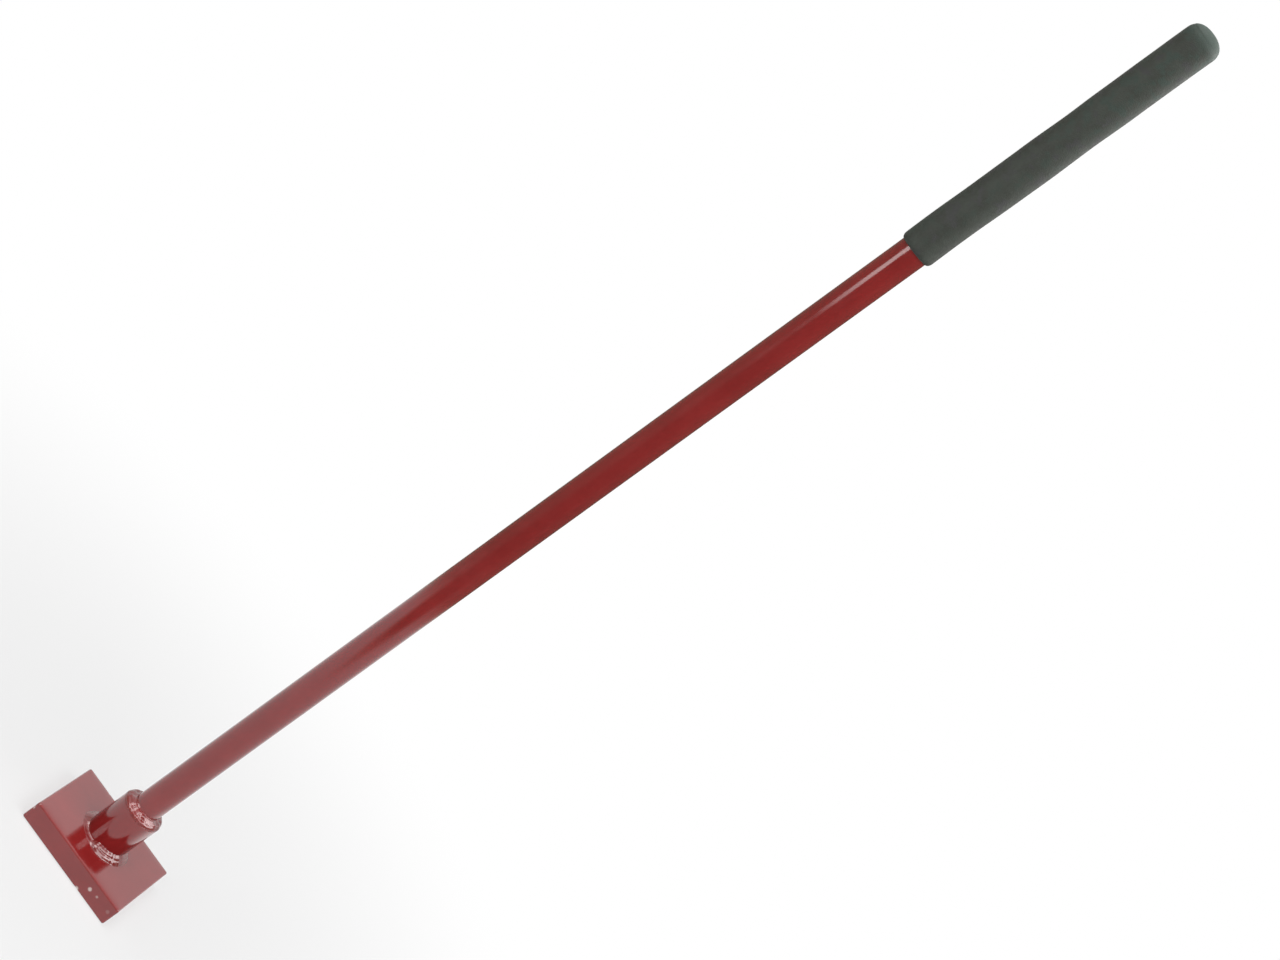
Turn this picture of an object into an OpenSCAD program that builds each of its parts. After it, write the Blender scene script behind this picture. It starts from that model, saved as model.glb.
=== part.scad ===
// Hand tamper: a welded steel head and tube shaft with a foam grip.
// +Z runs up the shaft. The origin is the middle of the plate's underside.

/* [Head plate] */
// Length of the plate, along X
plate_length = 120; // [80:1:200]
// Width of the plate, along Y
plate_width = 110; // [80:1:200]
// Thickness of the plate
plate_thickness = 22; // [12:1:40]
// Width of the chamfer that breaks the plate's edges
plate_edge_break = 1; // [0.4:0.1:3]

/* [Socket] */
// Wall of the socket round the shaft
socket_wall = 8.1; // [4:0.1:14]
// Height of the socket above the plate
socket_height = 47; // [30:1:90]
// Gap all round between the shaft and the socket's bore
socket_clearance = 0.1; // [0.05:0.05:0.5]

/* [Shaft] */
// Outside diameter of the shaft tube
shaft_diameter = 28; // [20:0.5:40]
// Wall of the shaft tube
shaft_wall = 2; // [1:0.1:4]
// Length of the shaft tube, from the plate up
shaft_length = 1183; // [600:1:1500]

/* [Welds] */
// How far the foot weld spreads over the plate from the socket
foot_weld_spread = 7; // [3:0.5:12]
// How far the foot weld climbs the socket
foot_weld_climb = 6.5; // [3:0.5:12]
// How far the foot weld's face swells past a straight line
foot_weld_crown = 0.6; // [0.2:0.1:1.5]
// How far the rim weld climbs the shaft
rim_weld_climb = 7.5; // [3:0.5:14]
// How far the rim weld stops short of the socket's outer edge
rim_weld_setback = 0.5; // [0:0.1:2]
// How far the rim weld's face swells past a straight line
rim_weld_crown = 0.2; // [0.2:0.1:2]
// Hairline left between a weld and the round face that it is fused to
weld_hairline = 0.05; // [0.02:0.01:0.2]

/* [Grip] */
// Thickness of the foam round the shaft
grip_wall = 2.9; // [1.5:0.1:8]
// How far the grip covers the shaft tube
grip_cover = 278; // [100:0.5:400]
// Height of the grip's rounded end
grip_dome_height = 13.5; // [6:0.5:25]
// Length of the rounding at the grip's lower end
grip_lip_length = 5; // [1:0.5:10]
// Width of the flat ring left at the grip's lower end
grip_lip_flat = 0.5; // [0.2:0.1:1]
// Gap all round between the shaft and the grip's bore
grip_clearance = 0.1; // [0.05:0.05:0.3]

/* [End plug] */
// Thickness of the plug's head, which sits on the shaft's end
plug_head_thickness = 2; // [1:0.5:5]
// How far the plug's stem reaches into the shaft
plug_stem_length = 22; // [10:1:50]
// Wall of the plug's hollow stem
plug_stem_wall = 1.8; // [1:0.1:3]
// Number of barbed ribs round the stem
plug_rib_count = 4; // [2:1:6]
// How far the ribs stand out from the stem
plug_rib_height = 1; // [0.5:0.1:2]
// Gap all round between the ribs and the shaft's bore
plug_clearance = 0.1; // [0.05:0.05:0.3]

/* [Hidden] */
$fn = 96;

// Colours
red_enamel = [0.53, 0.13, 0.13];
dark_foam = [0.28, 0.30, 0.27];
black_plastic = [0.10, 0.10, 0.11];

// Number of straight steps in each curved stretch of a turned outline
curve_steps = 16;
// How far a cut runs past the face that it opens
overrun = 1;
// Share of the gap between two ribs that one rib fills
rib_fill_share = 0.6;
// Share of the foam's thickness left beside the corner of the shaft's end
grip_corner_share = 0.6;

// Radii
shaft_radius = shaft_diameter / 2;
shaft_bore_radius = shaft_radius - shaft_wall;
socket_bore_radius = shaft_radius + socket_clearance;
socket_radius = socket_bore_radius + socket_wall;
grip_bore_radius = shaft_radius + grip_clearance;
grip_radius = grip_bore_radius + grip_wall;
grip_corner_radius = grip_bore_radius + grip_wall * grip_corner_share;

// Heights
plate_top = plate_thickness;
socket_rim = plate_top + socket_height;
shaft_end = plate_top + shaft_length;
plug_top = shaft_end + plug_head_thickness;
grip_bottom = shaft_end - grip_cover;
// The dome starts low enough that the corner of the shaft's end stays covered
dome_bottom = plug_top - grip_dome_height * sqrt(1 - pow(grip_corner_radius / grip_radius, 2));

// Points along an ellipse, from one angle to another
function ellipse_arc(centre, half_width, half_height, from, to) =
    [for (i = [0 : curve_steps])
        let (angle = from + (to - from) * i / curve_steps)
        centre + [half_width * cos(angle), half_height * sin(angle)]];

// Points along a weld's face, which swells between its two toes
function bead_face(outer_toe, inner_toe, crown) =
    let (run = inner_toe - outer_toe, out = [run[1], -run[0]] / norm(run))
    [for (i = [0 : curve_steps])
        let (t = i / curve_steps, swell = 1 - pow(2 * t - 1, 2))
        outer_toe + run * t + out * crown * swell];

// A rectangle about the origin with its corners cut off
module broken_rectangle(width, height) {
    x = width / 2;
    y = height / 2;
    cut = plate_edge_break;
    polygon([[x, y - cut], [x - cut, y], [cut - x, y], [-x, y - cut],
             [-x, cut - y], [cut - x, -y], [x - cut, -y], [x, cut - y]]);
}

// A round tube that stands at a given height
module tube(outer_radius, inner_radius, bottom, height) {
    translate([0, 0, bottom])
        difference() {
            cylinder(r = outer_radius, h = height);
            translate([0, 0, -overrun])
                cylinder(r = inner_radius, h = height + 2 * overrun);
        }
}

// Solid steel block that strikes the ground
module head_plate() {
    color(red_enamel)
        translate([0, 0, plate_thickness / 2])
            intersection() {
                linear_extrude(plate_thickness, center = true)
                    broken_rectangle(plate_length, plate_width);
                rotate([90, 0, 0])
                    linear_extrude(plate_width, center = true)
                        broken_rectangle(plate_length, plate_thickness);
                rotate([90, 0, 90])
                    linear_extrude(plate_length, center = true)
                        broken_rectangle(plate_width, plate_thickness);
            }
}

// Thick sleeve on the plate that takes the foot of the shaft
module socket() {
    color(red_enamel)
        tube(socket_radius, socket_bore_radius, plate_top, socket_height);
}

// Fillet weld round the foot of the socket
module foot_weld() {
    wall = socket_radius + weld_hairline;
    outer_toe = [socket_radius + foot_weld_spread, plate_top];
    inner_toe = [wall, plate_top + foot_weld_climb];
    color(red_enamel)
        rotate_extrude()
            polygon(concat([[wall, plate_top]], bead_face(outer_toe, inner_toe, foot_weld_crown)));
}

// Steel tube from the plate to the end of the grip
module shaft() {
    color(red_enamel)
        tube(shaft_radius, shaft_bore_radius, plate_top, shaft_length);
}

// Heaped weld on the ledge between the socket's rim and the shaft
module rim_weld() {
    wall = shaft_radius + weld_hairline;
    outer_toe = [socket_radius - rim_weld_setback, socket_rim];
    inner_toe = [wall, socket_rim + rim_weld_climb];
    color(red_enamel)
        rotate_extrude()
            polygon(concat([[wall, socket_rim]], bead_face(outer_toe, inner_toe, rim_weld_crown)));
}

// One barbed rib of the plug, pointing up the shaft
module plug_rib(stem_radius, pitch) {
    polygon([[stem_radius, 0],
             [stem_radius + plug_rib_height, pitch * rib_fill_share],
             [stem_radius, pitch * rib_fill_share]]);
}

// Ribbed plastic plug that closes the top of the shaft
module end_plug() {
    stem_radius = shaft_bore_radius - plug_clearance - plug_rib_height;
    pitch = plug_stem_length / plug_rib_count;
    color(black_plastic)
        rotate_extrude() {
            translate([0, shaft_end])
                square([shaft_radius, plug_head_thickness]);
            translate([stem_radius - plug_stem_wall, shaft_end - plug_stem_length])
                square([plug_stem_wall, plug_stem_length]);
            for (i = [0 : plug_rib_count - 1])
                translate([0, shaft_end - plug_stem_length + i * pitch])
                    plug_rib(stem_radius, pitch);
        }
}

// Foam sleeve with a closed, rounded end
module grip() {
    lip_width = grip_wall - grip_lip_flat;
    lip_centre = [grip_radius - lip_width, grip_bottom + grip_lip_length];
    dome_centre = [0, dome_bottom];
    bore = [[0, plug_top], [grip_bore_radius, plug_top], [grip_bore_radius, grip_bottom]];
    color(dark_foam)
        rotate_extrude()
            polygon(concat(bore,
                           ellipse_arc(lip_centre, lip_width, grip_lip_length, -90, 0),
                           ellipse_arc(dome_centre, grip_radius, grip_dome_height, 0, 90)));
}

head_plate();
socket();
foot_weld();
shaft();
rim_weld();
end_plug();
grip();
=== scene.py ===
"""Hand tamper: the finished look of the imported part, laid out as an add-on and run as a script."""

import math

import bmesh
import bpy
from bpy.props import FloatProperty, FloatVectorProperty, IntProperty, PointerProperty
from mathutils import Matrix, Vector, noise


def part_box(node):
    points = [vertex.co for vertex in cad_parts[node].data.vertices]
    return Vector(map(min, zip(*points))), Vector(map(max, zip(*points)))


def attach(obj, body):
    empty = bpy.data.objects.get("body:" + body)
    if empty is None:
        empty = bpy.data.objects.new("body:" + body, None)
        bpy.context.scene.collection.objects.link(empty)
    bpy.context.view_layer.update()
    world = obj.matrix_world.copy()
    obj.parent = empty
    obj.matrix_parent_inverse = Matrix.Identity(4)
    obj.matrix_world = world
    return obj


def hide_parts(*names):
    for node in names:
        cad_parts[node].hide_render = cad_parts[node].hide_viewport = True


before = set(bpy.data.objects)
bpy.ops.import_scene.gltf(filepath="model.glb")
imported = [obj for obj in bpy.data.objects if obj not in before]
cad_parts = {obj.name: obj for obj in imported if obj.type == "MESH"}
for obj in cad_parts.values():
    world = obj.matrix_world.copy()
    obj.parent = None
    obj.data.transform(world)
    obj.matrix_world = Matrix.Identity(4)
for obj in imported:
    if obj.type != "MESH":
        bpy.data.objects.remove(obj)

bl_info = {
    "name": "Hand Tamper",
    "version": (1, 0, 0),
    "blender": (4, 5, 0),
    "location": "View3D > Sidebar > Tamper",
    "description": "Builds a welded steel hand tamper with a foam grip around its packed frame",
    "category": "Object",
}

MM = 0.001
FULL_TURN = 2 * math.pi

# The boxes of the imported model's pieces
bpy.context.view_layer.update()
PLATE_LOW, PLATE_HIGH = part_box("head_plate")
SOCKET_LOW, SOCKET_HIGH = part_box("socket")
FOOT_LOW, FOOT_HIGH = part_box("foot_weld")
SHAFT_LOW, SHAFT_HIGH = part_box("shaft")
RIM_LOW, RIM_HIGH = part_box("rim_weld")
PLUG_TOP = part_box("end_plug")[1].z
GRIP_LOW, GRIP_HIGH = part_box("grip")


class TamperSizes(bpy.types.PropertyGroup):
    """Sizes that the frame doesn't fix."""

    plate_edge: FloatProperty(
        name="Plate edge", description="Radius of the plate's broken edges",
        default=1.9 * MM, min=0.2 * MM, max=2.8 * MM, unit="LENGTH")
    plate_cell: FloatProperty(
        name="Plate cell", description="Size of the cells of the plate's mesh, before they are split",
        default=3.2 * MM, min=3.0 * MM, max=8 * MM, unit="LENGTH")
    socket_edge: FloatProperty(
        name="Socket edge", description="Radius of the socket's outer edges",
        default=0.7 * MM, min=0.2 * MM, max=2 * MM, unit="LENGTH")
    tube_edge: FloatProperty(
        name="Tube edge", description="Radius of the shaft's cut ends",
        default=0.4 * MM, min=0.1 * MM, max=0.9 * MM, unit="LENGTH")
    tube_wall: FloatProperty(
        name="Tube wall", description="Wall of the shaft tube",
        default=2.0 * MM, min=1 * MM, max=4 * MM, unit="LENGTH")
    fit_gap: FloatProperty(
        name="Fit gap", description="Gap between the shaft and what is pushed over it",
        default=0.1 * MM, min=0.05 * MM, max=0.5 * MM, unit="LENGTH")
    lip_length: FloatProperty(
        name="Grip lip", description="Length of the rounding at the grip's lower end",
        default=5.0 * MM, min=1 * MM, max=10 * MM, unit="LENGTH")
    lip_flat: FloatProperty(
        name="Grip lip flat", description="Width of the flat ring at the grip's lower end",
        default=0.5 * MM, min=0.2 * MM, max=1 * MM, unit="LENGTH")
    dome_height: FloatProperty(
        name="Grip dome", description="Height of the grip's rounded end",
        default=13.5 * MM, min=6 * MM, max=25 * MM, unit="LENGTH")
    foam_unevenness: FloatProperty(
        name="Foam unevenness", description="How far the foam's surface wanders in and out",
        default=0.45 * MM, min=0, max=1 * MM, unit="LENGTH")
    turned_steps: IntProperty(
        name="Turned steps", description="Steps round the turned pieces",
        default=128, min=32, max=256)
    weld_steps: IntProperty(
        name="Weld steps", description="Steps round each weld bead",
        default=320, min=64, max=512)


class TamperColours(bpy.types.PropertyGroup):
    """Colours of the finishes, in linear light."""

    enamel: FloatVectorProperty(
        name="Enamel", description="Red gloss paint on the steel",
        default=(0.245, 0.0165, 0.0165), size=3, min=0, max=1, subtype="COLOR")
    enamel_deep: FloatVectorProperty(
        name="Deep enamel", description="The paint where it lies thicker",
        default=(0.208, 0.0130, 0.0132), size=3, min=0, max=1, subtype="COLOR")
    enamel_weld: FloatVectorProperty(
        name="Weld enamel", description="The paint on the welds, where it lies thickest",
        default=(0.158, 0.0100, 0.0102), size=3, min=0, max=1, subtype="COLOR")
    steel: FloatVectorProperty(
        name="Steel", description="Bare steel where the paint is chipped",
        default=(0.50, 0.41, 0.39), size=3, min=0, max=1, subtype="COLOR")
    foam: FloatVectorProperty(
        name="Foam", description="Dark grey-green foam of the grip",
        default=(0.0320, 0.0360, 0.0295), size=3, min=0, max=1, subtype="COLOR")
    foam_bloom: FloatVectorProperty(
        name="Foam bloom", description="The foam where its skin is paler",
        default=(0.0470, 0.0545, 0.0455), size=3, min=0, max=1, subtype="COLOR")
    foam_green: FloatVectorProperty(
        name="Foam green", description="The foam where its skin has weathered greener",
        default=(0.0345, 0.0500, 0.0415), size=3, min=0, max=1, subtype="COLOR")
    # Painted light: a paler, greener foam on the grip's upturned rounded end, standing in for the light
    # from above
    foam_lit_end: FloatVectorProperty(
        name="Foam end", description="The foam at the grip's rounded end, which light has bleached",
        default=(0.0445, 0.0630, 0.0530), size=3, min=0, max=1, subtype="COLOR")
    foam_grey: FloatVectorProperty(
        name="Foam grey", description="The foam where its skin has weathered greyer",
        default=(0.0425, 0.0430, 0.0440), size=3, min=0, max=1, subtype="COLOR")
    plastic: FloatVectorProperty(
        name="Plastic", description="Black plastic of the end plug",
        default=(0.010, 0.010, 0.011), size=3, min=0, max=1, subtype="COLOR")
    floor: FloatVectorProperty(
        name="Floor", description="Pale studio floor",
        default=(0.62, 0.62, 0.62), size=3, min=0, max=1, subtype="COLOR")


class TamperStage(bpy.types.PropertyGroup):
    """Camera and light."""

    lens: FloatProperty(
        name="Lens", description="Focal length on a 36 mm sensor",
        default=74.72, min=20, max=300, unit="CAMERA")
    aim: FloatVectorProperty(
        name="Aim", description="Point that the camera looks at",
        default=(20.10 * MM, 0.0, 627.60 * MM), size=3, subtype="TRANSLATION", unit="LENGTH")
    distance: FloatProperty(
        name="Distance", description="From the camera to the point that it looks at",
        default=2229.5 * MM, min=0.5, max=10, unit="LENGTH")
    elevation: FloatProperty(
        name="Elevation", description="How far the camera looks down",
        default=math.radians(16.398), subtype="ANGLE")
    turn: FloatProperty(
        name="Turn", description="How far the camera stands round from the plate's front",
        default=math.radians(-0.545), subtype="ANGLE")
    roll: FloatProperty(
        name="Roll", description="How far the camera leans, so that the tool lies across the picture",
        default=math.radians(54.198), subtype="ANGLE")
    ambient: FloatProperty(
        name="Ambient", description="Strength of the even light from all round",
        default=0.09, min=0, max=2)


# Shader nodes

class Wire:
    """A socket of a node tree. Sums written with it add Math nodes to the tree."""

    def __init__(self, tree, socket=None):
        self.tree = tree
        self.socket = socket

    def node(self, kind, settings=None, inputs=None, output=0):
        """Adds a node: first its settings, then a value or a Wire for each input. Gives one output."""
        made = self.tree.nodes.new(kind)
        for name, value in (settings or {}).items():
            setattr(made, name, value)
        for key, value in (inputs or {}).items():
            socket = open_socket(made.inputs, key)
            if isinstance(value, Wire):
                self.tree.links.new(value.socket, socket)
            else:
                socket.default_value = value
        return Wire(self.tree, open_socket(made.outputs, output))

    def math(self, operation, *values):
        """A Math node on these values."""
        return self.node("ShaderNodeMath", {"operation": operation}, dict(enumerate(values)))

    def __add__(self, other):
        return self.math("ADD", self, other)

    __radd__ = __add__

    def __sub__(self, other):
        return self.math("SUBTRACT", self, other)

    def __rsub__(self, other):
        return self.math("SUBTRACT", other, self)

    def __mul__(self, other):
        return self.math("MULTIPLY", self, other)

    __rmul__ = __mul__

    def __abs__(self):
        return self.math("ABSOLUTE", self)

    def least(self, other):
        """The smaller of two values."""
        return self.math("MINIMUM", self, other)

    def most(self, other):
        """The larger of two values."""
        return self.math("MAXIMUM", self, other)


def open_socket(sockets, key):
    """The socket at an index, or the first one in use with that name."""
    if isinstance(key, int):
        return sockets[key]
    return next(socket for socket in sockets if socket.name == key and socket.enabled)


def step(value, low, high, start=0.0, end=1.0):
    """Goes smoothly from start, where the value is low, to end, where it is high."""
    return value.node(
        "ShaderNodeMapRange", {"interpolation_type": "SMOOTHSTEP"},
        {"Value": value, "From Min": low, "From Max": high, "To Min": start, "To Max": end})


def grain(place, scale, detail=2.0, roughness=0.5):
    """Noise from 0 to 1 at a place, with a number of features to the metre."""
    return place.node(
        "ShaderNodeTexNoise", None,
        {"Vector": place, "Scale": scale, "Detail": detail, "Roughness": roughness}, "Fac")


def blend_colours(share, first, second):
    """The first colour, going to the second as the share goes to 1."""
    return share.node(
        "ShaderNodeMix", {"data_type": "RGBA"},
        {"Factor": share, "A": opaque(first), "B": opaque(second)}, "Result")


def opaque(colour):
    """A colour for a socket: links pass, and plain colours get an alpha."""
    return colour if isinstance(colour, Wire) else (*colour, 1.0)


def axes_of(place):
    """The three coordinates of a place."""
    return [place.node("ShaderNodeSeparateXYZ", None, {"Vector": place}, axis) for axis in "XYZ"]


def distance_to(place, point):
    """How far a place is from a point."""
    return place.node(
        "ShaderNodeVectorMath", {"operation": "DISTANCE"}, {0: place, 1: point}, "Value")


def new_material(name):
    """A material with an empty tree, and a place in it that reads Object coordinates."""
    material = bpy.data.materials.new(name)
    material.use_nodes = True
    material.node_tree.nodes.clear()
    place = Wire(material.node_tree).node("ShaderNodeTexCoord", output="Object")
    return material, place


def close_material(shader):
    """Sends a shader to the output of its tree."""
    output = shader.tree.nodes.new("ShaderNodeOutputMaterial")
    shader.tree.links.new(shader.socket, output.inputs["Surface"])


def bumped(height):
    """The normal of a surface that has this height over it, in metres."""
    return height.node(
        "ShaderNodeBump", None, {"Strength": 1.0, "Distance": 1.0, "Height": height}, "Normal")


# Finishes. A scale is a number of features to the metre, and a range is the low and the high of a step

# The core of a chip or a scuff, as a share of its radius
SPOT_CORE_SHARE = 0.3


def spot(near, radius, strength):
    """A round spot, by how near its middle is: at full strength in its core and gone at its radius."""
    return step(near, radius, SPOT_CORE_SHARE * radius, 0.0, strength)


# Enamel: its gloss, its orange peel, its sags, its uneven tone and its dull patches
ENAMEL_IOR = 1.62
ENAMEL_ROUGHNESS = 0.10
PEEL_SCALE = 420.0
PEEL_HEIGHT = 0.0012 * MM
SAG_SCALE = 55.0
SAG_HEIGHT = 0.014 * MM
TONE_SCALE = 16.0
TONE_RANGE = (0.3, 0.7)
DULL_SCALE = 34.0
DULL_RANGE = (0.40, 0.75)
DULL_ROUGHENING = 0.07
# How thick the enamel is at a chip, and how rough the steel under it
PAINT_FILM = 0.12 * MM
STEEL_ROUGHNESS = 0.42


def plain_films(context):
    """The enamel's two colours on the plate, the socket and the shaft."""
    colours = context.scene.tamper_colours
    return colours.enamel, colours.enamel_deep


def enamel_material(name, films, steel=None, chips=None, scuffs=()):
    """Brushed-on gloss enamel, uneven and scuffed. Steel shows in its chips, where these are given."""
    material, place = new_material(name)
    film = blend_colours(step(grain(place, TONE_SCALE, 4.0, 0.6), *TONE_RANGE), *films)
    roughness = ENAMEL_ROUGHNESS + step(grain(place, DULL_SCALE), *DULL_RANGE) * DULL_ROUGHENING
    for centre, radius, dulling in scuffs:
        roughness = roughness + spot(distance_to(place, centre), radius, dulling)
    height = grain(place, PEEL_SCALE) * PEEL_HEIGHT + grain(place, SAG_SCALE) * SAG_HEIGHT
    inputs = {"IOR": ENAMEL_IOR}
    if chips is not None:
        bare = chips(place)
        film = blend_colours(bare, film, steel)
        roughness = roughness + bare * (STEEL_ROUGHNESS - ENAMEL_ROUGHNESS)
        height = height - bare * PAINT_FILM
        inputs["Metallic"] = bare
    inputs.update({"Base Color": film, "Roughness": roughness, "Normal": bumped(height)})
    close_material(place.node("ShaderNodeBsdfPrincipled", None, inputs, "BSDF"))
    return material


# Chips on the plate: where each one lies, its radius and how bare it is
PLATE_FRONT = PLATE_LOW.y
FRONT_CHIPS = (
    ((28.6 * MM, PLATE_FRONT, 11.4 * MM), 2.7 * MM, 1.0),
    ((37.7 * MM, PLATE_FRONT, 12.6 * MM), 1.9 * MM, 0.55),
    ((54.0 * MM, PLATE_FRONT, 12.2 * MM), 2.6 * MM, 0.25),
    ((20.8 * MM, PLATE_FRONT, 1.2 * MM), 2.8 * MM, 1.0),
    ((PLATE_LOW.x, PLATE_FRONT, 14.2 * MM), 2.6 * MM, 0.9),
)
# How far the chips' outlines wander, and features to the metre there
CHIP_WANDER = 1.2 * MM
CHIP_OUTLINE_SCALE = 700.0
# Small chips along the edges: how far in they reach, and the noise that picks their places
EDGE_CHIP_REACH = 1.5 * MM
EDGE_CHIP_SCALE = 150.0
EDGE_CHIP_RANGE = (0.80, 0.84)
EDGE_CHIP_LIFT = 0.12


def plate_chips(place):
    """Where the plate's paint is gone: a few chips on the front, and small ones along the edges."""
    ragged = grain(place, CHIP_OUTLINE_SCALE, 3.0)
    bare = None
    for centre, radius, share in FRONT_CHIPS:
        near = distance_to(place, centre) + (ragged - 0.5) * CHIP_WANDER
        chip = spot(near, radius, share)
        bare = chip if bare is None else bare.most(chip)
    middle = (PLATE_LOW + PLATE_HIGH) / 2
    half = (PLATE_HIGH - PLATE_LOW) / 2
    gaps = [half[i] - abs(axis - middle[i]) for i, axis in enumerate(axes_of(place))]
    inner = gaps[0].least(gaps[1]).most(gaps[0].most(gaps[1]).least(gaps[2]))
    edge = step(inner, EDGE_CHIP_REACH, 0.0)
    patches = grain(place, EDGE_CHIP_SCALE, 4.0, 0.7) + edge * EDGE_CHIP_LIFT
    return bare.most(step(patches, *EDGE_CHIP_RANGE) * edge)


# Foam: its pale bloom, its greener and greyer weathering, and its fine speckle, pores and lumps
FOAM_ROUGHNESS = 0.62
FOAM_SPECULAR = 0.32
BLOOM_SCALE = 75.0
BLOOM_RANGE = (0.32, 0.70)
BLOOM_ROUGHENING = 0.14
WEATHER_SCALE = 110.0
GREEN_RANGE = (0.50, 0.66)
GREEN_SHARES = (0.35, 1.0)
GREY_RANGE = (0.46, 0.30)
GREY_SHARE = 0.8
SPECKLE_SCALE = 1500.0
SPECKLE_RANGE = (0.55, 0.8)
SPECKLE_SHARE = 0.35
SPECKLE_HEIGHT = 0.06 * MM
PORE_SCALE = 900.0
PORE_HEIGHT = 0.10 * MM
LUMP_SCALE = 160.0
LUMP_HEIGHT = 0.25 * MM
# The painted light on the grip's upturned end: where it starts, where it would be complete, how far bloom
# carries it down, its share
END_LIGHT_FROM = GRIP_HIGH.z - 16.0 * MM
END_LIGHT_TO = GRIP_HIGH.z + 6.0 * MM
END_LIGHT_WANDER = 14.0 * MM
END_LIGHT_SHARE = 0.9


def foam_material(name, colours):
    """Foam rubber: a matt skin with fine pores and pale, uneven bloom, and painted light on its rounded
    end.
    """
    material, place = new_material(name)
    height = axes_of(place)[2]
    bloom = step(grain(place, BLOOM_SCALE, 5.0, 0.65), *BLOOM_RANGE)
    speckle = grain(place, SPECKLE_SCALE)
    pores = place.node(
        "ShaderNodeTexVoronoi", {"feature": "F1"}, {"Vector": place, "Scale": PORE_SCALE}, "Distance")
    lumps = grain(place, LUMP_SCALE, 3.0)
    weathered = grain(place, WEATHER_SCALE, 3.0)
    green = step(weathered, *GREEN_RANGE) * step(height, GRIP_LOW.z, GRIP_HIGH.z, *GREEN_SHARES)
    grey = step(weathered, *GREY_RANGE) * GREY_SHARE
    # Painted light: the rounded end turns paler and greener, as if lit from above
    end_light = step(height + bloom * END_LIGHT_WANDER, END_LIGHT_FROM, END_LIGHT_TO, 0.0, END_LIGHT_SHARE)
    skin = blend_colours(bloom, colours.foam, colours.foam_bloom)
    skin = blend_colours(green, skin, colours.foam_green)
    skin = blend_colours(grey, skin, colours.foam_grey)
    skin = blend_colours(end_light, skin, colours.foam_lit_end)
    skin = blend_colours(step(speckle, *SPECKLE_RANGE) * SPECKLE_SHARE, skin, colours.foam_bloom)
    relief = pores * PORE_HEIGHT + speckle * SPECKLE_HEIGHT + lumps * LUMP_HEIGHT
    close_material(place.node("ShaderNodeBsdfPrincipled", None, {
        "Base Color": skin, "Roughness": FOAM_ROUGHNESS + bloom * BLOOM_ROUGHENING,
        "Normal": bumped(relief), "Specular IOR Level": FOAM_SPECULAR}, "BSDF"))
    return material


# Plastic: its fine grain
PLASTIC_ROUGHNESS = 0.42
PLASTIC_ROUGHENING = 0.16
PLASTIC_SCALE = 1200.0
PLASTIC_RANGE = (0.5, 0.8)
PLASTIC_HEIGHT = 0.03 * MM


def plastic_material(name, colours):
    """Moulded black plastic with a fine grain."""
    material, place = new_material(name)
    speck = grain(place, PLASTIC_SCALE, 3.0)
    paler = [2 * part for part in colours.plastic]
    colour = blend_colours(step(speck, *PLASTIC_RANGE), colours.plastic, paler)
    close_material(place.node("ShaderNodeBsdfPrincipled", None, {
        "Base Color": colour, "Roughness": PLASTIC_ROUGHNESS + speck * PLASTIC_ROUGHENING,
        "Normal": bumped(speck * PLASTIC_HEIGHT)}, "BSDF"))
    return material


# Shapes

# Vertices that are closer together than this are merged
MERGE_DISTANCE = 0.001 * MM
# Vertices that are closer than this to the corner under a weld belong to it
CORNER_REACH = 0.01 * MM
# Degrees by which faces turn at an edge to bevel, at a sharp edge, and at a sharp edge of a weld
CORNER_TURN = 45.0
SHARP_EDGE = 40.0
SHARP_WELD_EDGE = 60.0
# Rows of points along the socket and the shaft and across a weld, and steps round the edges
SOCKET_ROWS = 8
SHAFT_ROWS = 40
BEAD_ROWS = 28
PLATE_EDGE_STEPS = 4
SOCKET_EDGE_STEPS = 4
TUBE_EDGE_STEPS = 3


def arc(centre, half_width, half_height, start, end, count, bend=1.0):
    """Points along an ellipse between two angles, in degrees. A bend under 1 makes it squarer."""
    points = []
    for i in range(count + 1):
        angle = math.radians(start + (end - start) * i / count)
        parts = math.cos(angle), math.sin(angle)
        reach = [math.copysign(abs(part) ** bend, part) for part in parts]
        points.append((centre[0] + half_width * reach[0], centre[1] + half_height * reach[1]))
    return points


def run(first, last, count):
    """Points between two points, without either of them."""
    return [tuple(Vector(first).lerp(Vector(last), i / count)) for i in range(1, count)]


def turned(outline, steps, closed=True):
    """A mesh made by turning an outline of radius and height points about the Z axis."""
    bm = bmesh.new()
    points = [bm.verts.new((radius, 0.0, height)) for radius, height in outline]
    ends = points[1:] + points[:1] if closed else points[1:]
    edges = [bm.edges.new(pair) for pair in zip(points, ends)]
    bmesh.ops.spin(
        bm, geom=points + edges, cent=(0, 0, 0), axis=(0, 0, 1), angle=FULL_TURN,
        steps=steps, use_merge=True)
    return bm


def bead_outline(wall, base, spread, climb, crown):
    """The section of a weld in the corner of a wall and a ledge: two toes and a swollen face."""
    outer = Vector((wall + spread, base))
    inner = Vector((wall, base + climb))
    along = inner - outer
    out = Vector((along.y, -along.x)).normalized()
    shares = [i / BEAD_ROWS for i in range(BEAD_ROWS + 1)]
    face = [outer + along * t + out * crown * (1 - (2 * t - 1) ** 2) for t in shares]
    return [(wall, base)] + [tuple(point) for point in face]


def front_angle(point):
    """The angle round the shaft from the front, growing to the right."""
    return math.atan2(point.x, -point.y)


def hump(value, centre, width):
    """A bell curve that is 1 at its centre and dies away over its width."""
    return math.exp(-(((value - centre) / width) ** 2))


def swell(angle, centre, width):
    """A hump round the shaft, whose centre and width are in degrees."""
    away = math.degrees(math.remainder(angle - math.radians(centre), FULL_TURN))
    return hump(away, 0.0, width)


def ease(value, low, high):
    """0 below low, 1 above high and smooth between them."""
    t = min(1.0, max(0.0, (value - low) / (high - low)))
    return t * t * (3 - 2 * t)


def wander(point, scale, seed):
    """Smooth noise of about -1 to 1 at a point, with a number of features to the metre."""
    return noise.noise(Vector(point) * scale + Vector((seed, 2 * seed, 3 * seed)))


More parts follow.
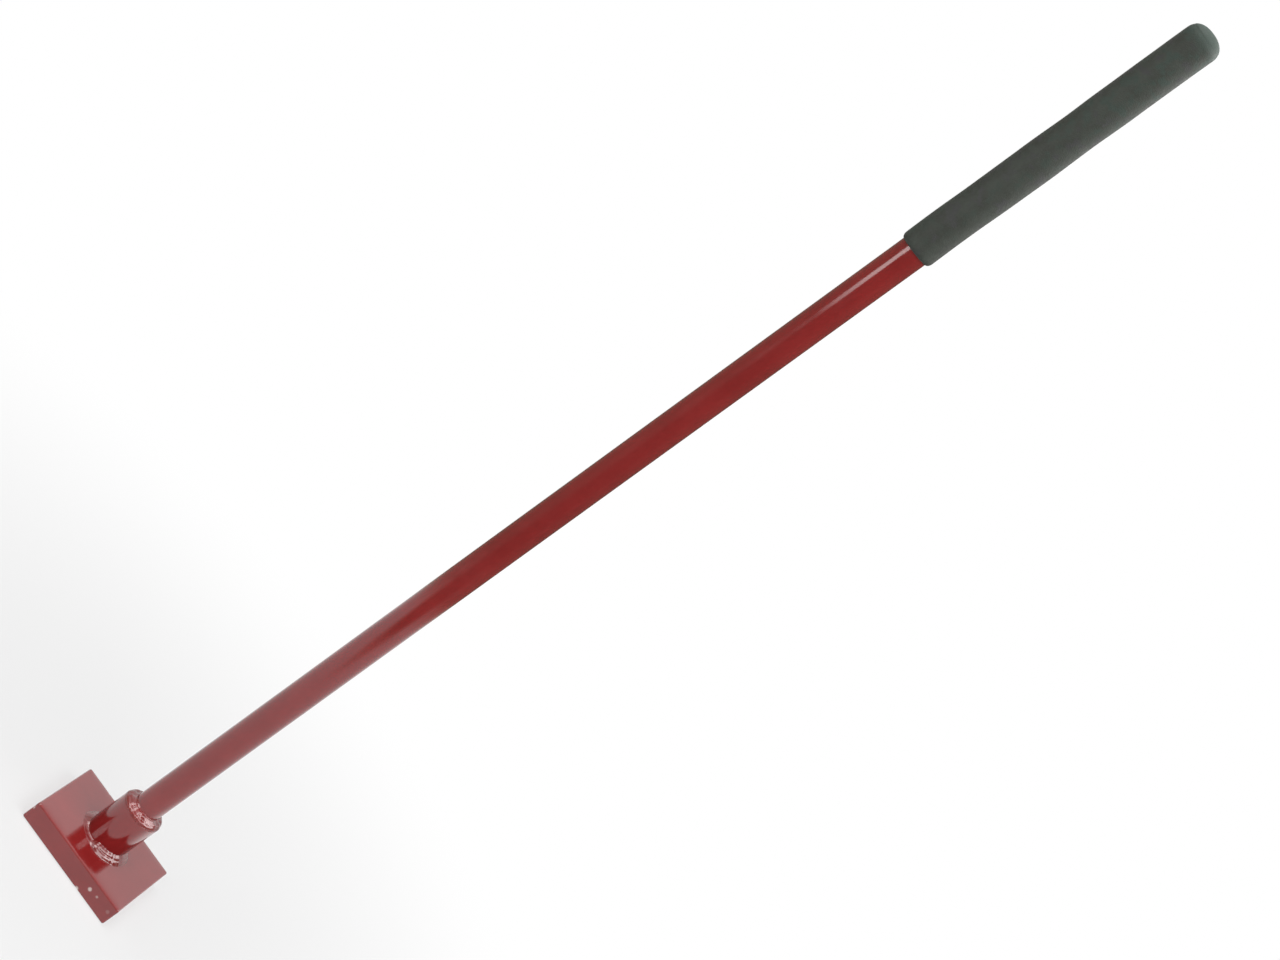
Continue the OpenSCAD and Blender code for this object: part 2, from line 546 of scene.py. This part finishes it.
def finish_piece(bm, name, node, material, sharp=SHARP_EDGE):
    """Closes a mesh and makes it a piece that stands for a node of the frame."""
    bmesh.ops.remove_doubles(bm, verts=bm.verts, dist=MERGE_DISTANCE)
    bmesh.ops.recalc_face_normals(bm, faces=bm.faces)
    for face in bm.faces:
        face.smooth = True
    for edge in bm.edges:
        edge.smooth = edge.calc_face_angle(0.0) < math.radians(sharp)
    mesh = bpy.data.meshes.new(name)
    bm.to_mesh(mesh)
    bm.free()
    mesh.materials.append(material)
    piece = bpy.data.objects.new(name, mesh)
    bpy.context.scene.collection.objects.link(piece)
    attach(piece, "root")
    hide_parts(node)
    return piece


def weigh_normals(piece):
    """Keeps the large faces flat beside small rounded edges."""
    modifier = piece.modifiers.new("Weighted Normal", "WEIGHTED_NORMAL")
    modifier.keep_sharp = True


# Nicks in the plate's edges: where each one lies, its radius and its depth
PLATE_NICKS = (
    ((PLATE_LOW.x, PLATE_LOW.y, 14.2 * MM), 3.2 * MM, 0.7 * MM),
    ((20.8 * MM, PLATE_LOW.y, PLATE_LOW.z), 3.4 * MM, 0.7 * MM),
    ((PLATE_LOW.x, PLATE_LOW.y, PLATE_HIGH.z), 3.0 * MM, 0.8 * MM),
    ((PLATE_HIGH.x, 18.0 * MM, PLATE_LOW.z), 3.6 * MM, 0.6 * MM),
    ((-31.0 * MM, PLATE_HIGH.y, PLATE_HIGH.z), 3.0 * MM, 0.4 * MM),
)
# How far in from the plate's edges its top is worn down, and by how much
EDGE_WEAR = 12.0 * MM
EDGE_DROP = 0.65 * MM


class TAMPER_OT_head_plate(bpy.types.Operator):
    """Build the solid steel plate that strikes the ground"""

    bl_idname = "tamper.head_plate"
    bl_label = "Head Plate"
    bl_options = {"REGISTER", "UNDO"}

    def execute(self, context):
        sizes = context.scene.tamper_sizes
        middle = (PLATE_LOW + PLATE_HIGH) / 2
        bm = bmesh.new()
        bmesh.ops.create_cube(bm, size=1.0)
        bmesh.ops.scale(bm, vec=PLATE_HIGH - PLATE_LOW, verts=bm.verts)
        bmesh.ops.translate(bm, vec=middle, verts=bm.verts)
        for axis, length in enumerate(PLATE_HIGH - PLATE_LOW):
            ends = [(edge, edge.verts[0].co[axis], edge.verts[1].co[axis]) for edge in bm.edges]
            along = [edge for edge, start, end in ends if abs(start - end) > length / 2]
            cuts = int(length / sizes.plate_cell) - 1
            bmesh.ops.subdivide_edges(bm, edges=along, cuts=cuts, use_grid_fill=True)
        corners = [edge for edge in bm.edges if edge.calc_face_angle() > math.radians(CORNER_TURN)]
        bmesh.ops.bevel(
            bm, geom=corners, offset=sizes.plate_edge, offset_type="OFFSET", affect="EDGES",
            segments=PLATE_EDGE_STEPS, profile=0.5, material=-1)
        bmesh.ops.subdivide_edges(bm, edges=bm.edges, cuts=2, use_grid_fill=True)
        for vert in bm.verts:
            inset = [PLATE_HIGH[i] - middle[i] - abs(vert.co[i] - middle[i]) for i in (0, 1)]
            worn = (1 - min(1.0, min(inset) / EDGE_WEAR)) ** 3
            vert.co.z -= EDGE_DROP * worn * ease(vert.co.z, middle.z, PLATE_HIGH.z)
            for centre, radius, depth in PLATE_NICKS:
                near = (vert.co - Vector(centre)).length / radius
                if near < 1:
                    vert.co += (middle - Vector(centre)).normalized() * depth * (1 - near ** 2) ** 2
        steel = context.scene.tamper_colours.steel
        material = enamel_material("plate_enamel", plain_films(context), steel, plate_chips)
        weigh_normals(finish_piece(bm, "steel_head_plate", "head_plate", material))
        return {"FINISHED"}


class TAMPER_OT_socket(bpy.types.Operator):
    """Build the thick sleeve on the plate that takes the foot of the shaft"""

    bl_idname = "tamper.socket"
    bl_label = "Socket"
    bl_options = {"REGISTER", "UNDO"}

    def execute(self, context):
        sizes = context.scene.tamper_sizes
        radius = SOCKET_HIGH.x
        bore = SHAFT_HIGH.x + sizes.fit_gap
        edge = sizes.socket_edge
        low, high = SOCKET_LOW.z, SOCKET_HIGH.z
        outline = [(bore, low), (radius, low)]
        outline += run((radius, low), (radius, high - edge), SOCKET_ROWS)
        outline += arc((radius - edge, high - edge), edge, edge, 0, 90, SOCKET_EDGE_STEPS)
        outline += [(bore, high)]
        bm = turned(outline, sizes.turned_steps)
        material = enamel_material("socket_enamel", plain_films(context))
        weigh_normals(finish_piece(bm, "shaft_socket", "socket", material))
        return {"FINISHED"}


class TAMPER_OT_shaft(bpy.types.Operator):
    """Build the steel tube from the plate to the end of the grip"""

    bl_idname = "tamper.shaft"
    bl_label = "Shaft"
    bl_options = {"REGISTER", "UNDO"}

    def execute(self, context):
        sizes = context.scene.tamper_sizes
        radius = SHAFT_HIGH.x
        bore = radius - sizes.tube_wall
        edge = sizes.tube_edge
        low, high = SHAFT_LOW.z, SHAFT_HIGH.z
        outline = [(bore, low + edge)]
        outline += arc((radius - edge, low + edge), edge, edge, -90, 0, TUBE_EDGE_STEPS)
        outline += run((radius, low + edge), (radius, high - edge), SHAFT_ROWS)
        outline += arc((radius - edge, high - edge), edge, edge, 0, 90, TUBE_EDGE_STEPS)
        outline += [(bore, high)]
        bm = turned(outline, sizes.turned_steps)
        material = enamel_material("shaft_enamel", plain_films(context))
        weigh_normals(finish_piece(bm, "shaft_tube", "shaft", material))
        return {"FINISHED"}


# Where the welds' paint is dull: the middle of the spot, its radius and how dull it is
WELD_SCUFFS = (
    ((-15.5 * MM, -19.5 * MM, 24.0 * MM), 17.0 * MM, 0.12),
    ((0.0, -17.5 * MM, 72.5 * MM), 26.0 * MM, 0.12),
)
# How far the welds' plain faces bulge, and how soon their lumps die away at the toes
FOOT_CROWN = 0.6 * MM
RIM_CROWN = 0.2 * MM
TOE_POWER = 0.6
# Waves in how far the welds spread and climb: the size, the scale and the seed of each one
FOOT_SPREAD_WAVES = ((0.16, 2.4, 3.0), (0.06, 9.0, 5.0))
FOOT_CLIMB_WAVES = ((0.12, 2.8, 7.0), (0.05, 10.0, 9.0))
RIM_SPREAD_WAVES = ((0.01, 3.0, 13.0),)
RIM_CLIMB_WAVES = ((0.06, 4.0, 17.0),)
# Their fine roughness: its height, features to the metre and seed
FOOT_ROUGH = (0.08 * MM, 110.0, 11.0)
RIM_ROUGH = (0.03 * MM, 130.0, 23.0)

# Foot weld: how high it climbs, as a share of its solid
FOOT_CLIMB_SHARE = 0.95
# Where it is washed out, in degrees from the front and half width, and what that takes from it
WASHED_PLACE = (-38.0, 46.0)
WASHED_SPREAD_SHARE = 0.30
WASHED_CLIMB_SHARE = 0.76
WASHED_SINK = 0.2 * MM
FIRST_PASS_SINK = 0.3 * MM
# Its second pass: the degrees from the front over which it fades in and out, and its relief flattens
PASS_FADE_IN = (-13.0, 6.0)
PASS_FADE_OUT = (106.0, 118.0)
PASS_FLATTENING = (25.0, 55.0)
PASS_FLATTENING_SHARE = 0.6
PASS_SPREAD_SHARE = 0.10
PASS_SINK = 0.30 * MM
# Its groove and its two ridges: degrees up the face, half width and height
PASS_RELIEF = (
    (44.0, 11.0, -0.35 * MM),
    (20.0, 13.0, 0.30 * MM),
    (68.0, 13.0, 0.21 * MM),
)
# The blob where it starts: its middle and half width round from the front and up the face, and its height
BLOB_PLACE = (4.0, 6.0)
BLOB_RISE = (45.0, 30.0)
BLOB_HEIGHT = 0.6 * MM


def waves(angle, parts):
    """The sum of some smooth waves round the shaft."""
    around = (math.sin(angle), math.cos(angle), 0.0)
    return sum(size * wander(around, scale, seed) for size, scale, seed in parts)


def foot_bead_form(angle, rise, point):
    """How much the foot weld spreads and climbs, and how far its face stands out, at one point."""
    bearing = math.degrees(angle)
    across = math.degrees(rise)
    second = ease(bearing, *PASS_FADE_IN) * (1 - ease(bearing, *PASS_FADE_OUT))
    first = 1 - second
    washed = swell(angle, *WASHED_PLACE) * first
    spread = 1.0 + waves(angle, FOOT_SPREAD_WAVES)
    spread += PASS_SPREAD_SHARE * second - WASHED_SPREAD_SHARE * washed
    climb = FOOT_CLIMB_SHARE + waves(angle, FOOT_CLIMB_WAVES) - WASHED_CLIMB_SHARE * washed
    relief = sum(height * hump(across, centre, width) for centre, width, height in PASS_RELIEF)
    relief *= 1 - PASS_FLATTENING_SHARE * ease(bearing, *PASS_FLATTENING)
    out = second * (relief - PASS_SINK) - first * FIRST_PASS_SINK - washed * WASHED_SINK
    out += BLOB_HEIGHT * swell(angle, *BLOB_PLACE) * hump(across, *BLOB_RISE)
    height, scale, seed = FOOT_ROUGH
    return spread, climb, out + height * wander(point, scale, seed)


# Rim weld: how far it spreads, and how high it climbs at the sides, as shares of its solid
RIM_SPREAD_SHARE = 1.05
SIDE_CLIMB_SHARE = 0.75
# What counts as its front, by the cosine of the angle from the front
FRONT_RANGE = (0.1, 0.8)
# How far its face stands out, all over and in its heaps, and the degrees up it where these fall off
RIM_FILL = 0.3 * MM
FRONT_HEAP = 1.7 * MM
FRONT_HEAP_FALL = (14.0, 40.0)
SIDE_HEAP = 1.3 * MM
SIDE_HEAP_FALL = (44.0, 72.0)
# The crevice between its front and the shaft: degrees up the face, half width and depth
CREVICE_RISE = (85.0, 6.0)
CREVICE_DEPTH = 1.55 * MM
# The ripples at its back: degrees from one to the next, and height
BACK_PITCH = 25.0
BACK_RIPPLE = 0.4 * MM
# The radius of its middle and the depth from its corner to its face, which turn degrees into lengths
RIM_MIDDLE = 18.0 * MM
RIM_DEPTH = 6.0 * MM
# Its lumps at the front: degrees round from the front and up the face, half width, half height, swelling
RIM_LUMPS = (
    (-36.0, 42.0, 3.4 * MM, 2.8 * MM, 0.55 * MM),
    (-13.0, 42.0, 3.2 * MM, 2.8 * MM, 0.55 * MM),
    (58.0, 50.0, 7.0 * MM, 3.2 * MM, 0.45 * MM),
)
# The groove between its passes and the notch in the left one: degrees round, half width, depth
RIM_GROOVES = (
    (1.0, 3.5, 0.5 * MM),
    (-25.0, 3.0, 0.35 * MM),
)
# The lump whose middle sank to a crater: where it lies, its ring's radius and height, and its depth. The
# widths of the ring and of the sunk middle are shares of the ring's radius
CRATER_PLACE = (17.0, 40.0)
CRATER_RING = 2.8 * MM
CRATER_RING_HEIGHT = 0.55 * MM
CRATER_RING_SHARE = 0.5
CRATER_DEPTH = 0.5 * MM
CRATER_MIDDLE_SHARE = 0.6


def rim_offset(angle, rise, centre, level):
    """How far a point of the rim weld's face lies round it and up it from a spot on it."""
    return RIM_MIDDLE * (angle - math.radians(centre)), RIM_DEPTH * (rise - math.radians(level))


def rim_bead_form(angle, rise, point):
    """How much the rim weld spreads and climbs, and how far its lumps stand out, at one point."""
    across = math.degrees(rise)
    front = ease(math.cos(angle), *FRONT_RANGE)
    spread = RIM_SPREAD_SHARE + waves(angle, RIM_SPREAD_WAVES)
    climb = SIDE_CLIMB_SHARE + (1 - SIDE_CLIMB_SHARE) * front + waves(angle, RIM_CLIMB_WAVES)
    crevice = CREVICE_DEPTH * hump(across, *CREVICE_RISE)
    front_form = FRONT_HEAP * (1 - ease(across, *FRONT_HEAP_FALL)) - crevice
    ripple = abs(math.sin(math.pi * math.degrees(angle) / BACK_PITCH))
    side_form = SIDE_HEAP * (1 - ease(across, *SIDE_HEAP_FALL)) + BACK_RIPPLE * ripple
    out = RIM_FILL + front * front_form + (1 - front) * side_form
    for centre, level, wide, tall, high in RIM_LUMPS:
        aside, up = rim_offset(angle, rise, centre, level)
        out += high * hump(aside, 0.0, wide) * hump(up, 0.0, tall)
    for centre, width, depth in RIM_GROOVES:
        out -= depth * swell(angle, centre, width)
    crater = math.hypot(*rim_offset(angle, rise, *CRATER_PLACE)) / CRATER_RING
    out += CRATER_RING_HEIGHT * hump(crater, 1.0, CRATER_RING_SHARE)
    out -= CRATER_DEPTH * hump(crater, 0.0, CRATER_MIDDLE_SHARE)
    height, scale, seed = RIM_ROUGH
    return spread, climb, out + height * wander(point, scale, seed)


def form_bead(bm, wall, base, form):
    """Gives a plain bead its uneven toes and its lumps. The corner under it stays where it is."""
    for vert in bm.verts:
        point = vert.co
        radius = math.hypot(point.x, point.y)
        out_from_wall = radius - wall
        up_from_base = point.z - base
        if math.hypot(out_from_wall, up_from_base) < CORNER_REACH:
            continue
        rise = math.atan2(up_from_base, out_from_wall)
        spread, climb, out = form(front_angle(point), rise, point)
        bulge = out * math.sin(2 * rise) ** TOE_POWER if 0 < rise < math.pi / 2 else 0.0
        new_radius = wall + out_from_wall * spread + bulge * math.cos(rise)
        vert.co = (
            point.x * new_radius / radius,
            point.y * new_radius / radius,
            base + up_from_base * climb + bulge * math.sin(rise))


class TAMPER_OT_welds(bpy.types.Operator):
    """Build the two weld beads, at the foot and at the rim of the socket"""

    bl_idname = "tamper.welds"
    bl_label = "Welds"
    bl_options = {"REGISTER", "UNDO"}

    def execute(self, context):
        sizes = context.scene.tamper_sizes
        colours = context.scene.tamper_colours
        films = (colours.enamel_deep, colours.enamel_weld)
        material = enamel_material("weld_enamel", films, scuffs=WELD_SCUFFS)
        foot_wall, rim_wall = SOCKET_HIGH.x, SHAFT_HIGH.x
        beads = (
            ("foot_weld_bead", "foot_weld", foot_wall, FOOT_LOW, FOOT_HIGH, FOOT_CROWN, foot_bead_form),
            ("rim_weld_bead", "rim_weld", rim_wall, RIM_LOW, RIM_HIGH, RIM_CROWN, rim_bead_form),
        )
        for name, node, wall, low, high, crown, form in beads:
            outline = bead_outline(wall, low.z, high.x - wall, high.z - low.z, crown)
            bm = turned(outline, sizes.weld_steps)
            form_bead(bm, wall, low.z, form)
            finish_piece(bm, name, node, material, SHARP_WELD_EDGE)
        return {"FINISHED"}


# Rows of points along the grip and round its ends, and how square its rounded end is
GRIP_ROWS = 56
LIP_STEPS = 10
DOME_STEPS = 24
DOME_BEND = 0.86
# The foam's uneven surface: its scale and seed, and how far in it lies, as a share of its unevenness
FOAM_SCALE = 28.0
FOAM_SEED = 29.0
FOAM_SINK_SHARE = 0.5
# How far the cut at the grip's lower end rises to the front, over what length that fades, and how the cut
# leans to the right and to the back
CUT_SLANT = 1.8 * MM
CUT_FADE = 16.0 * MM
CUT_LEANS = (0.3, -0.4)


class TAMPER_OT_grip(bpy.types.Operator):
    """Build the foam grip and finish the plug under its end"""

    bl_idname = "tamper.grip"
    bl_label = "Grip"
    bl_options = {"REGISTER", "UNDO"}

    def execute(self, context):
        sizes = context.scene.tamper_sizes
        colours = context.scene.tamper_colours
        radius = GRIP_HIGH.x
        bore = SHAFT_HIGH.x + sizes.fit_gap
        low, high = GRIP_LOW.z, GRIP_HIGH.z
        lip = radius - bore - sizes.lip_flat
        lip_top = low + sizes.lip_length
        dome_bottom = high - sizes.dome_height
        outline = [(0.0, PLUG_TOP), (bore, PLUG_TOP), (bore, low)]
        outline += arc((radius - lip, lip_top), lip, sizes.lip_length, -90, 0, LIP_STEPS)
        outline += run((radius, lip_top), (radius, dome_bottom), GRIP_ROWS)
        outline += arc((0.0, dome_bottom), radius, sizes.dome_height, 0, 90, DOME_STEPS, DOME_BEND)
        bm = turned(outline, sizes.turned_steps, closed=False)
        for vert in bm.verts:
            reach = math.hypot(vert.co.x, vert.co.y)
            if reach > bore + lip / 2:
                uneven = wander(vert.co, FOAM_SCALE, FOAM_SEED) - FOAM_SINK_SHARE
                shift = sizes.foam_unevenness * uneven
                vert.co.x *= 1 + shift / reach
                vert.co.y *= 1 + shift / reach
            near_cut = 1 - ease(vert.co.z, low, low + CUT_FADE)
            lean = 0.5 + (CUT_LEANS[0] * vert.co.x + CUT_LEANS[1] * vert.co.y) / radius
            vert.co.z += CUT_SLANT * lean * near_cut
        material = foam_material("grip_foam", colours)
        grip = finish_piece(bm, "foam_grip", "grip", material)
        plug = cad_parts["end_plug"]
        plug.data.materials.clear()
        plug.data.materials.append(plastic_material("plug_plastic", colours))
        return {"FINISHED"}


# Stage

FLOOR_RADIUS = 3.2
FLOOR_SIDES = 96
# Width of the camera's sensor, in millimetres
SENSOR_WIDTH = 36.0
# How far from the tool its shadow fades, and the share of plain white at the near and the far end
SHADOW_RANGE = (0.1, 0.75)
SHADOW_SHARES = (0.62, 1.0)
# What reflections show: white paper round the tool, a dim warm room past it, which is brighter low down,
# and a bright sky behind the tool and over it
PAPER_MIDDLE = (-0.04, 0.0, 0.0)
PAPER_REACH = 1.06
PAPER_FADE = 0.12
PAPER_FRONT = -0.80
PAPER_FRONT_SLANT = 0.12
PAPER_FRONT_FADE = 0.17
PAPER_GLOSS = 1.18
ROOM_GLOSS = 0.17
LOW_LIFT = 0.7
SKY_GLOSS = 1.35
ROOM_COLOUR = (1.0, 0.93, 0.75)
WHITE = (1.0, 1.0, 1.0)
# Where the sky starts and the low band starts and ends, by how far a direction points back or up
SKY_BACK = (0.3, 0.6)
SKY_HORIZON = (-0.06, 0.1)
SKY_OVERHEAD = (0.52, 0.68)
LOW_BAND_FOOT = (0.02, 0.08)
LOW_BAND_TOP = (0.40, 0.30)
# A brighter spot on the paper, close to the plate's right side
GLINT_PLACE = (0.11, 0.04, 0.0)
GLINT_REACH = 0.10
GLINT_LIFT = 0.9
# How much brighter the paper and the room are off to the left and to the right, and where that fades in
PAPER_LIFTS = (0.06, 0.06)
ROOM_LIFTS = (0.18, 0.08)
LEFT_SIDE = (-0.15, -0.85)
RIGHT_SIDE = (0.55, 0.98)

# Lamps: power, width, height, place and aim
LAMPS = {
    "right_softbox": (95.0, 3.6, 2.1, (1.80, -1.05, 3.35), (0.0, 0.0, 0.1)),
    "top_panel": (184.0, 3.0, 3.0, (-2.00, -0.30, 6.00), (0.0, 0.0, 0.1)),
    "left_panel": (120.0, 2.6, 2.6, (-2.20, -0.30, 4.50), (0.0, 0.0, 0.07)),
    "front_lamp": (3.5, 0.35, 0.35, (-0.84, -1.02, 2.76), (0.0, 0.0, 0.07)),
    "front_fill": (34.0, 3.2, 1.6, (0.25, -3.00, 1.40), (0.0, 0.0, 0.6)),
    "left_window": (1.75, 0.66, 0.20, (-0.985, -1.13, 0.68), (0.0, 0.0, 0.68)),
    "left_pane": (8.0, 0.80, 0.32, (-0.985, -1.13, 0.90), (0.0, 0.0, 0.04)),
    "right_window": (17.5, 2.0, 0.9, (1.10, 0.45, 1.54), (0.0, 0.0, 1.19)),
}
# The lamps that only show in reflections, and the ones that never do
REFLECTED_ONLY = ("left_panel", "left_pane", "right_window")
NEVER_REFLECTED = ("top_panel", "front_fill")
# How wide the beam is of the lamp that is turned to the grip
SPREADS = {"right_window": math.radians(120)}


def ray_kinds(wire):
    """Light Path's tests for rays from the camera, from glossy surfaces and through glass."""
    return [wire.node("ShaderNodeLightPath", output=f"Is {kind} Ray")
            for kind in ("Camera", "Glossy", "Transmission")]


def beside(across, lifts):
    """What is added to the left and to the right, by how far across a bearing points."""
    left, right = lifts
    return step(across, *LEFT_SIDE, 0.0, left) + step(across, *RIGHT_SIDE, 0.0, right)


def floor_material(colours):
    """Pale floor: white to the camera, with the tool's soft shadow, and paper and room in reflections."""
    material, place = new_material("studio_floor")
    camera, glossy, transmission = ray_kinds(place)
    x, y, _ = axes_of(place)
    bearing = place.node("ShaderNodeVectorMath", {"operation": "NORMALIZE"}, {0: place})
    across = axes_of(bearing)[0]
    reach = distance_to(place, PAPER_MIDDLE)
    front = y - x * PAPER_FRONT_SLANT
    paper = step(front, PAPER_FRONT - PAPER_FRONT_FADE, PAPER_FRONT + PAPER_FRONT_FADE)
    paper = paper * step(reach, PAPER_REACH + PAPER_FADE, PAPER_REACH - PAPER_FADE)
    room = ROOM_GLOSS + beside(across, ROOM_LIFTS)
    glint = step(distance_to(place, GLINT_PLACE), GLINT_REACH, 0.0, 0.0, GLINT_LIFT)
    mirrored = room + paper * (PAPER_GLOSS + beside(across, PAPER_LIFTS) + glint - room)
    glow = camera + transmission + glossy * mirrored
    tint = blend_colours(glossy * (1 - paper), WHITE, ROOM_COLOUR)
    share = camera * step(reach, *SHADOW_RANGE, *SHADOW_SHARES) + glossy + transmission
    lit = place.node("ShaderNodeBsdfDiffuse", None, {"Color": opaque(colours.floor)}, "BSDF")
    white = place.node("ShaderNodeEmission", None, {"Color": tint, "Strength": glow}, "Emission")
    close_material(place.node("ShaderNodeMixShader", None, {0: share, 1: lit, 2: white}, "Shader"))
    return material


def light_world(scene, ambient):
    """White to the camera, even for soft light, and bright behind and overhead in reflections."""
    world = bpy.data.worlds.new("studio")
    scene.world = world
    world.use_nodes = True
    world.node_tree.nodes.clear()
    facing = Wire(world.node_tree).node("ShaderNodeTexCoord", output="Generated")
    camera, glossy, transmission = ray_kinds(facing)
    x, y, z = axes_of(facing)
    sky = (step(y, *SKY_BACK) * step(z, *SKY_HORIZON)).most(step(z, *SKY_OVERHEAD))
    low = step(z, *LOW_BAND_FOOT) * step(z, *LOW_BAND_TOP)
    room = ROOM_GLOSS + beside(x, ROOM_LIFTS) + low * LOW_LIFT
    mirrored = room + sky * (SKY_GLOSS - room)
    seen = camera + transmission
    strength = seen + glossy * mirrored + (1 - seen - glossy) * ambient
    tint = blend_colours(glossy * (1 - sky), WHITE, ROOM_COLOUR)
    background = facing.node(
        "ShaderNodeBackground", None, {"Color": tint, "Strength": strength}, "Background")
    output = world.node_tree.nodes.new("ShaderNodeOutputWorld")
    world.node_tree.links.new(background.socket, output.inputs["Surface"])


def facing_matrix(place, aim, lean=0.0):
    """The matrix of a camera or lamp at a place that looks at a point, leaning about its view."""
    back = (Vector(place) - Vector(aim)).normalized()
    right = Vector((0, 0, 1)).cross(back).normalized()
    up = back.cross(right)
    side = math.cos(lean) * right + math.sin(lean) * up
    matrix = Matrix((side, back.cross(side), back)).transposed().to_4x4()
    matrix.translation = Vector(place)
    return matrix


class TAMPER_OT_stage(bpy.types.Operator):
    """Build the floor, the lamps and the camera"""

    bl_idname = "tamper.stage"
    bl_label = "Stage"
    bl_options = {"REGISTER", "UNDO"}

    def execute(self, context):
        scene = context.scene
        stage = scene.tamper_stage
        scene.view_settings.view_transform = "Standard"
        bm = bmesh.new()
        bmesh.ops.create_circle(bm, cap_ends=True, segments=FLOOR_SIDES, radius=FLOOR_RADIUS)
        mesh = bpy.data.meshes.new("floor")
        bm.to_mesh(mesh)
        bm.free()
        mesh.materials.append(floor_material(scene.tamper_colours))
        floor = bpy.data.objects.new("floor", mesh)
        scene.collection.objects.link(floor)
        light_world(scene, stage.ambient)
        for name, (power, width, height, place, aim) in LAMPS.items():
            lamp = bpy.data.lights.new(name, "AREA")
            lamp.shape = "RECTANGLE"
            lamp.energy = power
            lamp.size = width
            lamp.size_y = height
            lamp.spread = SPREADS.get(name, math.pi)
            holder = bpy.data.objects.new(name, lamp)
            holder.matrix_world = facing_matrix(place, aim)
            holder.visible_camera = False
            holder.visible_diffuse = name not in REFLECTED_ONLY
            holder.visible_glossy = name not in NEVER_REFLECTED
            scene.collection.objects.link(holder)
        camera = bpy.data.cameras.new("camera")
        camera.lens = stage.lens
        camera.sensor_fit = "HORIZONTAL"
        camera.sensor_width = SENSOR_WIDTH
        level = math.cos(stage.elevation)
        back = Vector((
            math.sin(stage.turn) * level, -math.cos(stage.turn) * level, math.sin(stage.elevation)))
        aim = Vector(stage.aim)
        holder = bpy.data.objects.new("camera", camera)
        holder.matrix_world = facing_matrix(aim + back * stage.distance, aim, stage.roll)
        scene.collection.objects.link(holder)
        scene.camera = holder
        return {"FINISHED"}


class TAMPER_PT_panel(bpy.types.Panel):
    """Lists the tamper's pieces and its stage"""

    bl_idname = "TAMPER_PT_panel"
    bl_label = "Hand Tamper"
    bl_space_type = "VIEW_3D"
    bl_region_type = "UI"
    bl_category = "Tamper"

    def draw(self, context):
        for operator in OPERATORS:
            self.layout.operator(operator.bl_idname)


OPERATORS = (
    TAMPER_OT_head_plate,
    TAMPER_OT_socket,
    TAMPER_OT_welds,
    TAMPER_OT_shaft,
    TAMPER_OT_grip,
    TAMPER_OT_stage,
)
GROUPS = {
    "tamper_sizes": TamperSizes,
    "tamper_colours": TamperColours,
    "tamper_stage": TamperStage,
}
CLASSES = (*GROUPS.values(), *OPERATORS, TAMPER_PT_panel)


def register():
    for cls in CLASSES:
        bpy.utils.register_class(cls)
    for name, group in GROUPS.items():
        setattr(bpy.types.Scene, name, PointerProperty(type=group))


def unregister():
    for name in GROUPS:
        delattr(bpy.types.Scene, name)
    for cls in reversed(CLASSES):
        bpy.utils.unregister_class(cls)


def main():
    register()
    for operator in OPERATORS:
        group, name = operator.bl_idname.split(".")
        getattr(getattr(bpy.ops, group), name)()


if __name__ == "__main__":
    main()
